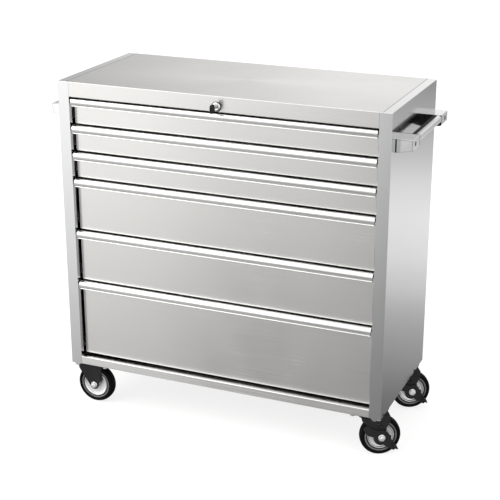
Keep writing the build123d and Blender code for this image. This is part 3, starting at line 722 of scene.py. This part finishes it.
def make_casters():
    for end in ENDS:
        for side in ("left", "right"):
            make_wheel(end, side)
    forks, ends, plates = [], [], []
    for end in ENDS:
        place = hub_place(f"{end}_left_roll")
        shift = Matrix.Translation(place.translation / MM)
        forks.append(moved(make_rigid_fork(), shift))
        low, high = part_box("rigid_forks")
        plate = caster_plate_shape((high.x - low.x) / MM, PLATE_DEPTH, RIGID_BOLT_X, BOLT_Y)
        middle = (low.x + high.x) / 2 / MM
        forks.append(moved(plate, Matrix.Translation(
            (middle, place.translation.y / MM, high.z / MM - PLATE_SHEET))))
        for way in (-1, 1):
            ends.append(moved(axle_end(way * 22.6, way), shift))
        swivel = Vector(JOINTS[f"{end}_right_swivel"]["pos_m"]) / MM
        low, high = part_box("swivel_plates")
        plate = caster_plate_shape((high.x - low.x) / MM, PLATE_DEPTH, SWIVEL_BOLT_X, BOLT_Y)
        plates.append(moved(plate, Matrix.Translation((swivel.x, swivel.y, high.z / MM - PLATE_SHEET))))
        race = lathe(((8, 0), (30, 0), (31.6, 1.2), (33.0, 4.6), (36.0, 6.8), (37, 7.4), (8, 7.4)),
                     64)
        stand = Matrix.Translation((swivel.x, swivel.y, high.z / MM - 11.2))
        plates.append(moved(race, stand @ Matrix.Rotation(pi / 2, 4, "X")))
        pin = lathe(((0, 0), (11, 0), (12, 1), (12, 3.4), (8, 3.8), (7.8, 9), (0, 9)), 36)
        stand = Matrix.Translation((swivel.x, swivel.y, 126.4))
        plates.append(moved(pin, stand @ Matrix.Rotation(pi / 2, 4, "X")))
        roll = hub_place(f"{end}_right_roll")
        body = f"{end}_right_fork"
        piece(f"{body}_pressing", make_swivel_fork(), "black_powder_coat", body,
              "black_powder_coat", (body,), roll)
        axles = joined(axle_end(-26.4, -1), axle_end(22.4, 1),
                       lathe(((0, -27), (5.9, -27), (5.9, 23), (0, 23)), 24))
        piece(f"{body}_axle", axles, "wheel_zinc", body, "zinc_plate", (), roll)
        lever = f"{end}_brake_lever"
        piece(f"{lever}_pressing", make_brake_lever(), "black_powder_coat", lever,
              "black_powder_coat", (lever,), roll)
    piece("rigid_fork_pressings", joined(*forks), "black_powder_coat", "cabinet",
          "black_powder_coat", ("rigid_forks",))
    piece("rigid_axle_ends", joined(*ends), "wheel_zinc", "cabinet", "zinc_plate",
          ("rigid_axles",))
    piece("swivel_plate_pressings", joined(*plates), "black_powder_coat", "cabinet",
          "black_powder_coat", ("swivel_plates",))


def make_caster_bolts():
    """Bolts under every corner of the four caster plates."""
    recipe = hex_bolt_recipe()
    points = []
    for node, ends, spread in (("rigid_forks", "left_roll", RIGID_BOLT_X * MM),
                               ("swivel_plates", "right_swivel", SWIVEL_BOLT_X * MM)):
        low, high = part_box(node)
        middle = (low.x + high.x) / 2
        for end in ENDS:
            y = JOINTS[f"{end}_{ends}"]["pos_m"][1]
            points += [(middle + sx * spread, y + sy * BOLT_Y * MM, high.z - PLATE_SHEET * MM)
                       for sx in (-1, 1) for sy in (-1, 1)]
    mesh = recipe.run("caster_bolt_heads", points_mesh("caster_bolt_heads", points), "zinc_plate")
    add_piece("caster_bolt_heads", mesh, "zinc_plate", "cabinet",
              ("caster_bolts",))


# ---- handles ----
def arm_shape(low_y, width):
    """Arm with a sloping underside and a rounded tip."""
    reach, top, root, tip = ARM_REACH, 0.0, -40.0, -30.4
    profile = rounded([(0, top, 0.5), (reach, top, 2.2), (reach, tip, 2.2), (0, root, 0.5)], 1.0, 4)
    shape = cut_sheet([profile], 0, width, 0.9, "XZ")
    return moved(shape, Matrix.Translation((0, low_y, 0)))


def make_handles():
    low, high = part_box("handle_arms")
    bar_low, bar_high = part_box("handle_bars")
    screw_low, screw_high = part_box("handle_screws")
    root = high.x / MM - ARM_REACH
    top = high.z / MM
    arms, inner_black_plates, shells, grips, shade_marks = [], [], [], [], []
    width = (bar_low.y - low.y) / MM
    screw_y = (screw_low.y / MM + 5.0, screw_high.y / MM - 5.0)
    for side in (-1, 1):
        flip = Matrix.Scale(side, 4, (1, 0, 0))
        for start, inner in ((low.y / MM, 1), (bar_high.y / MM, -1)):
            shape = arm_shape(start, width)
            arms.append(moved(shape, flip @ Matrix.Translation((root, 0, top))))
            face = start + width if inner > 0 else start
            a, b = (face - 1.0, face + 3.2) if inner > 0 else (face - 3.2, face + 1.0)
            plug = rounded([(0.6, 0, 1), (48.1, 0, 2.2), (48.1, -30.5, 2.2),
                            (0.6, -40.0, 1)], 1.0, 4)
            # Near-black plates on the arms' inner faces, darker than the polished arms.
            inner_black_plate = cut_sheet([plug], a, b, 0.6, "XZ")
            inner_black_plates.append(moved(inner_black_plate, flip @ Matrix.Translation((root, 0, top))))
        # Thin near-black strips along the arms' edges: painted shade lines in the seams.
        for y in (low.y / MM - 0.15, high.y / MM - 0.45):
            shade_lines = (soft_box(1.0, 47.6, y, y + 0.6, -2.4, -1.0, 0.25, 1),
                     soft_box(45.9, 47.0, y, y + 0.6, -30.6, -2.2, 0.25, 1),
                     soft_box(0.0, 2.2, y - 0.05, y + 0.65, -38.0, -1.0, 0.25, 1))
            shade_marks.append(moved(joined(*shade_lines), flip @ Matrix.Translation((root, 0, top))))
        # Near-black ovals on the arms' outer faces behind the screw heads: painted shade in the screw
        # wells.
        for y in screw_y:
            oval = rounded([(-4.4, -6.4), (4.4, -6.4), (4.4, 6.4), (-4.4, 6.4)], 4.2, 8)
            shade_well = cut_sheet([oval], 46.6, 48.5, 0.4, "YZ")
            shade_marks.append(moved(shade_well, flip @ Matrix.Translation(
                (root, y, screw_low.z / MM + 5.0))))
        y0, y1 = bar_low.y / MM + 3.0, bar_high.y / MM - 3.0
        section = rounded([(26.5, 0, 0.6), (31.5, 0, 0.6), (44, 0, 2.5), (48, -4, 2.5),
                           (48, -18, 2.5), (44, -22, 2.5), (31.5, -22, 0.6), (31.5, -20, 0.4),
                           (43, -20, 1.5), (46, -17.4, 1.5), (46, -4.8, 1.5), (43.2, -2, 1.5),
                           (26.5, -2, 0.4)], 1.0, 3)
        shells.append(moved(cut_sheet([section], y0, y1, 0.2, "XZ"),
                            flip @ Matrix.Translation((root, 0, top))))
        core = rounded([(27.6, -2.4, 1.0), (45.2, -2.4, 1.0), (45.2, -19.6, 1.0),
                        (30.6, -21.4, 2.0), (27.0, -18, 2.0)], 1.0, 3)
        grips.append(moved(cut_sheet([core], y0 + 0.4, y1 - 0.4, 0.3, "XZ"),
                           flip @ Matrix.Translation((root, 0, top))))
    piece("handle_arm_shells", joined(*arms), "polished_arm", "cabinet", "polished_stainless",
          ("handle_arms",))
    piece("handle_arm_inserts", joined(*inner_black_plates), "black_plastic", "cabinet", "black_powder_coat")
    piece("handle_screw_wells", joined(*shade_marks), "dark_recess", "cabinet", "black_powder_coat")
    piece("handle_bar_shells", joined(*shells), "bar_aluminium", "cabinet", "pull_aluminium",
          ("handle_bars",), sharp=25)
    piece("handle_grip_cores", joined(*grips), "black_plastic", "cabinet", "black_powder_coat")
    make_grip_ribs(root, top, (bar_low.y + bar_high.y) / 2, bar_high.y - bar_low.y)
    make_handle_screws(high.x, screw_y, screw_low.z + 0.005)


def make_grip_ribs(root, top, middle, length):
    """Fine ribs along the inner top edge of both grips."""
    recipe = rib_recipe()
    points = []
    for side in (-1, 1):
        points.append((side * (root + 27.6) * MM, middle, (top - 10.5) * MM))
    mesh = recipe.run("grip_rib_rows", points_mesh("grip_rib_rows", points), "black_plastic",
                      length=length - 0.006, rib_length=0.0022, rib_height=0.0158)
    add_piece("grip_rib_rows", mesh, "black_plastic", "cabinet")
    tops = [(side * (root + 31.0) * MM, middle, (top + 0.1) * MM) for side in (-1, 1)]
    mesh = recipe.run("grip_rib_tops", points_mesh("grip_rib_tops", tops), "black_plastic",
                      length=length - 0.006, rib_length=0.0110, rib_height=0.0012)
    add_piece("grip_rib_tops", mesh, "black_plastic", "cabinet")


def make_handle_screws(outer, places_y, z):
    recipe = socket_screw_recipe()
    for name, side in (("right_handle_screw_heads", 1), ("left_handle_screw_heads", -1)):
        points = [(outer - 0.0026, y * MM, z) for y in places_y]
        mesh = recipe.run(name, points_mesh(name, points), "black_plastic")
        if side < 0:
            mesh.transform(Matrix.Rotation(pi, 4, "Z"))
            shift = places_y[0] + places_y[1]
            mesh.transform(Matrix.Translation((0, shift * MM, 0)))
        stands = ("handle_screws",) if side > 0 else ()
        add_piece(name, mesh, "black_plastic", "cabinet", stands)


# ---- lock ----
def make_lock():
    low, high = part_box("lock_housing")
    centre = Vector((0, low.y, (low.z + high.z) / 2))
    place = Matrix.Translation(centre)
    cup = lathe(((6.2, 28.0), (6.2, 1.0), (7.2, 0.2), (8.4, 0.0), (9.2, 0.5), (10.6, 0.6),
                 (12.4, 1.4), (14.0, 2.8), (14.5, 3.9), (9.5, 4.0), (9.5, 28.0)), 72)
    piece("lock_escutcheon", cup, "chrome", "cabinet", "chrome", ("lock_housing",), place)
    # A near-black ring round the escutcheon's rim: painted dark reflection.
    edge = lathe(((13.2, 2.0), (14.2, 2.3), (15.0, 3.0), (15.2, 4.0), (13.2, 4.0)), 72)
    piece("lock_escutcheon_edge", edge, "dark_recess", "cabinet", "black_powder_coat", (), place)
    face = [circle(0, 0, 5.9, 40),
            rounded([(-1.4, -4.2), (1.4, -4.2), (1.4, 4.2), (-1.4, 4.2)], 0.5, 3)]
    plug = cut_sheet(face, 0.3, 26.0, 0.3)
    piece("lock_plug_keyed", plug, "chrome", "lock_plug_and_shaft", "chrome", ("lock_plug",), place)
    make_key(centre)


def make_key(centre):
    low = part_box("key")[0]
    place = Matrix.Translation((0, low.y, centre.z))
    bow = rounded([(0, -13), (19, -13, 6), (27, -6, 4), (27, 6, 4), (19, 13, 6), (0, 13)], 7.0, 8)
    grip = cut_sheet([bow, circle(6.4, 0, 2.6, 24)], -2.4, 2.4, 0.9, "XZ")
    pad = cut_sheet([rounded([(13, -6.5), (22, -6.5), (22, 6.5), (13, 6.5)], 3.0, 6)],
                    -2.5, 2.5, 0.5, "XZ")
    turn = Matrix.Rotation(pi / 2, 4, "Z")
    piece("key_bow", moved(joined(grip, pad), turn), "black_plastic", "key", "black_plastic",
          ("key",), place)
    teeth = [(25, -3.2), (60, -3.2)]
    cuts = ((58, 1.2), (55, 3.2), (52, 1.4), (49, 2.6), (46, 1.0), (43, 3.0), (40, 3.4))
    teeth += [(x, z) for x, z in cuts] + [(25, 3.4)]
    blade = cut_sheet([teeth], -1.0, 1.0, 0.15, "XZ")
    piece("key_blade", moved(blade, turn), "chrome", "key", "chrome", (), place)


# ---- finishes on the sheet metal ----
def dress_nodes():
    """Give each remaining metal part its finish."""
    by_finish = {
        "brushed_rail": ("bottom_pan",),
        "brushed_top": ("top_cover",),
        "polished_side": ("left_side", "right_side"),
        "black_box_coat": ("back_panel",),
        "zinc_plate": ("slide_channels", "lock_shaft", "lock_bar", "caster_bolts",
                       "rigid_axles"),
        "chrome": ("lock_housing", "lock_plug"),
        "black_plastic": ("key", "handle_screws"),
        "polished_arm": ("handle_arms",),
        "bar_aluminium": ("handle_bars",),
        "black_powder_coat": ("rigid_forks", "swivel_plates"),
    }
    nodes = {name: finish for finish, names in by_finish.items() for name in names}
    for number in range(1, 7):
        nodes[f"drawer_{number}_front"] = "brushed_front"
        nodes[f"drawer_{number}_box"] = "black_box_coat"
        nodes[f"drawer_{number}_pull"] = "pull_aluminium"
        nodes[f"drawer_{number}_inner_rails"] = "zinc_plate"
        nodes[f"drawer_{number}_middle_rails"] = "zinc_plate"
    for end in ENDS:
        nodes[f"{end}_right_fork"] = "black_powder_coat"
        nodes[f"{end}_brake_lever"] = "black_powder_coat"
        for side in ("left", "right"):
            nodes[f"{end}_{side}_wheel"] = "wheel_zinc"
            nodes[f"{end}_{side}_tyre"] = "black_rubber"
    for name, finish in nodes.items():
        thing = frame["nodes"][name]
        if not thing.material_slots:
            thing.data.materials.append(FINISHES[finish])
        for slot in thing.material_slots:
            slot.material = FINISHES[finish]


# ---- studio ----
def make_camera():
    lens = bpy.data.cameras.new("camera")
    lens.lens, lens.sensor_width = 91.04, 36.0
    lens.clip_end = 60.0
    camera = bpy.data.objects.new("camera", lens)
    camera.location = (1.4522, -3.413, 1.895)
    camera.rotation_euler = (radians(90 - 20.15), 0, radians(22.81))
    bpy.context.scene.collection.objects.link(camera)
    bpy.context.scene.camera = camera


def make_floor():
    """Large pale floor that gives off a little light of its own."""
    tree, shader = new_finish("studio_floor", (0.80, 0.80, 0.80), 0.0, 0.8)
    shader.inputs["Emission Color"].default_value = (1, 1, 1, 1)
    shader.inputs["Emission Strength"].default_value = 0.76
    shader.inputs["Specular IOR Level"].default_value = 0.0
    clouds = noise(tree, (2.0, 2.0, 2.0), 2.0)
    tinted(tree, shader, clouds, (0.27, 0.27, 0.27), (0.29, 0.29, 0.29))
    mesh = bpy.data.meshes.new("studio_floor")
    far = 30.0
    mesh.from_pydata([(-far, -far, 0), (far, -far, 0), (far, far, 0), (-far, far, 0)], [],
                     [(0, 1, 2, 3)])
    mesh.materials.append(FINISHES["studio_floor"])
    floor = bpy.data.objects.new("studio_floor", mesh)
    bpy.context.scene.collection.objects.link(floor)
    floor.visible_glossy = False


def world_ramp(tree, source, stops, low, high):
    """Brightness by angle: stops are (degrees, brightness up to 2)."""
    spread = tree.nodes.new("ShaderNodeMapRange")
    spread.inputs["From Min"].default_value = radians(low)
    spread.inputs["From Max"].default_value = radians(high)
    tree.links.new(source, spread.inputs["Value"])
    ramp = tree.nodes.new("ShaderNodeValToRGB")
    ramp.color_ramp.interpolation = "EASE"
    marks = ramp.color_ramp.elements
    for index, (angle, value) in enumerate(stops):
        place = (angle - low) / (high - low)
        last = index == len(stops) - 1
        mark = marks[0] if index == 0 else marks[-1] if last else marks.new(place)
        mark.color = (value / 2, value / 2, value / 2, 1)
    tree.links.new(spread.outputs["Result"], ramp.inputs["Fac"])
    return ramp.outputs["Color"]


def world_math(tree, operation, *values):
    made = tree.nodes.new("ShaderNodeMath")
    made.operation = operation
    for index, value in enumerate(values):
        if isinstance(value, bpy.types.NodeSocket):
            tree.links.new(value, made.inputs[index])
        else:
            made.inputs[index].default_value = value
    return made.outputs[0]


ROUND = ((-180, 1.02), (-165, 1.02), (-130, 0.95), (-90, 0.90), (-45, 1.05), (0, 0.70),
         (12, 0.66), (16.2, 0.70), (17.4, 0.78), (19.0, 1.32), (20.4, 1.50), (21.4, 1.06),
         (22.6, 0.98), (24.6, 1.06), (26.2, 1.56), (27.4, 1.50), (31, 1.46), (45, 1.60),
         (100, 1.15), (140, 0.70), (149, 0.66), (152, 0.84), (156, 1.08), (161, 1.26),
         (165, 1.26), (172, 1.10), (180, 1.02))
FRONT_RISE = ((-90, 0.26), (-32, 0.32), (-27, 0.40), (-25, 0.48), (-23, 0.58), (-19.5, 0.78),
              (-14, 1.00), (-9, 1.20), (0, 1.55), (20, 1.85), (60, 1.85), (90, 1.40))
BACK_RISE = ((-90, 0.12), (-29, 0.14), (-27, 0.20), (-26, 0.28), (-24.5, 0.40), (-23, 0.52),
             (-21.5, 0.80), (-20, 1.00), (-18.5, 1.08), (-17, 0.96), (-15.5, 0.68), (-13.7, 0.52),
             (-12, 0.34), (-6, 0.50), (3, 0.95), (10, 1.08), (12, 1.02), (14, 0.82), (20, 0.75),
             (50, 0.85), (90, 1.10))
SHADE_ROUND = ((-180, 0.0), (20.4, 0.0), (22.0, 2.0), (24.0, 2.0), (25.4, 0.0), (180, 0.0))
SHADE_RISE = ((-90, 2.0), (-27, 1.5), (-25, 2.0), (-23.2, 1.6), (-20.5, 0.5), (-18, 0.0),
              (90, 0.0))


def make_world():
    """Soft studio surround: a bright left front, a grey right and a band of lit floor behind."""
    world = bpy.data.worlds.new("studio")
    bpy.context.scene.world = world
    world.use_nodes = True
    tree = world.node_tree
    backdrop = tree.nodes["Background"]
    place = tree.nodes.new("ShaderNodeTexCoord")
    parts = tree.nodes.new("ShaderNodeSeparateXYZ")
    join(tree, place, "Generated", parts, "Vector")
    x, y, z = (parts.outputs[k] for k in "XYZ")
    azimuth = world_math(tree, "ARCTAN2", world_math(tree, "MULTIPLY", x, -1.0),
                         world_math(tree, "MULTIPLY", y, -1.0))
    rise = world_math(tree, "ARCSINE", z)
    around = world_ramp(tree, azimuth, ROUND, -180, 180)
    ahead = world_ramp(tree, rise, FRONT_RISE, -90, 90)
    behind = world_ramp(tree, rise, BACK_RISE, -90, 90)
    share = tree.nodes.new("ShaderNodeMapRange")
    share.interpolation_type = "SMOOTHSTEP"
    share.inputs["From Min"].default_value = -0.3
    share.inputs["From Max"].default_value = 0.4
    tree.links.new(y, share.inputs["Value"])
    blend = tree.nodes.new("ShaderNodeMix")
    blend.data_type = "FLOAT"
    join(tree, share, "Result", blend, "Factor")
    tree.links.new(ahead, blend.inputs["A"])
    tree.links.new(behind, blend.inputs["B"])
    level = world_math(tree, "MULTIPLY", around, blend.outputs["Result"])
    level = world_math(tree, "MULTIPLY", level, 4.0)
    shade = world_math(tree, "MULTIPLY", world_ramp(tree, azimuth, SHADE_ROUND, -180, 180),
                       world_ramp(tree, rise, SHADE_RISE, -90, 90))
    shade = world_math(tree, "SUBTRACT", 1.0, world_math(tree, "MULTIPLY", shade, 0.78))
    level = world_math(tree, "MULTIPLY", level, shade)
    shown = tree.nodes.new("ShaderNodeLightPath")
    final = tree.nodes.new("ShaderNodeMix")
    final.data_type = "FLOAT"
    join(tree, shown, "Is Camera Ray", final, "Factor")
    tree.links.new(level, final.inputs["A"])
    final.inputs["B"].default_value = 1.05
    backdrop.inputs["Color"].default_value = (1, 0.995, 0.985, 1)
    join(tree, final, "Result", backdrop, "Strength")


def make_lights():
    """One large soft lamp above the front left."""
    lamp = bpy.data.lights.new("soft_key", "AREA")
    lamp.shape = "RECTANGLE"
    lamp.size, lamp.size_y = 2.4, 1.8
    lamp.energy = 30
    holder = bpy.data.objects.new("soft_key", lamp)
    holder.location = (-1.8, -2.6, 3.4)
    aim = Vector((0, 0, 0.6)) - holder.location
    holder.rotation_euler = aim.to_track_quat("-Z", "Y").to_euler()
    holder.visible_glossy = False
    bpy.context.scene.collection.objects.link(holder)


make_finishes()
dress_nodes()
make_pulls()
make_drawer_panels()
make_seam_shade_strips()
make_casters()
make_caster_bolts()
make_handles()
make_lock()
make_floor()
make_world()
make_lights()
make_camera()
bpy.context.scene.view_settings.view_transform = "Standard"
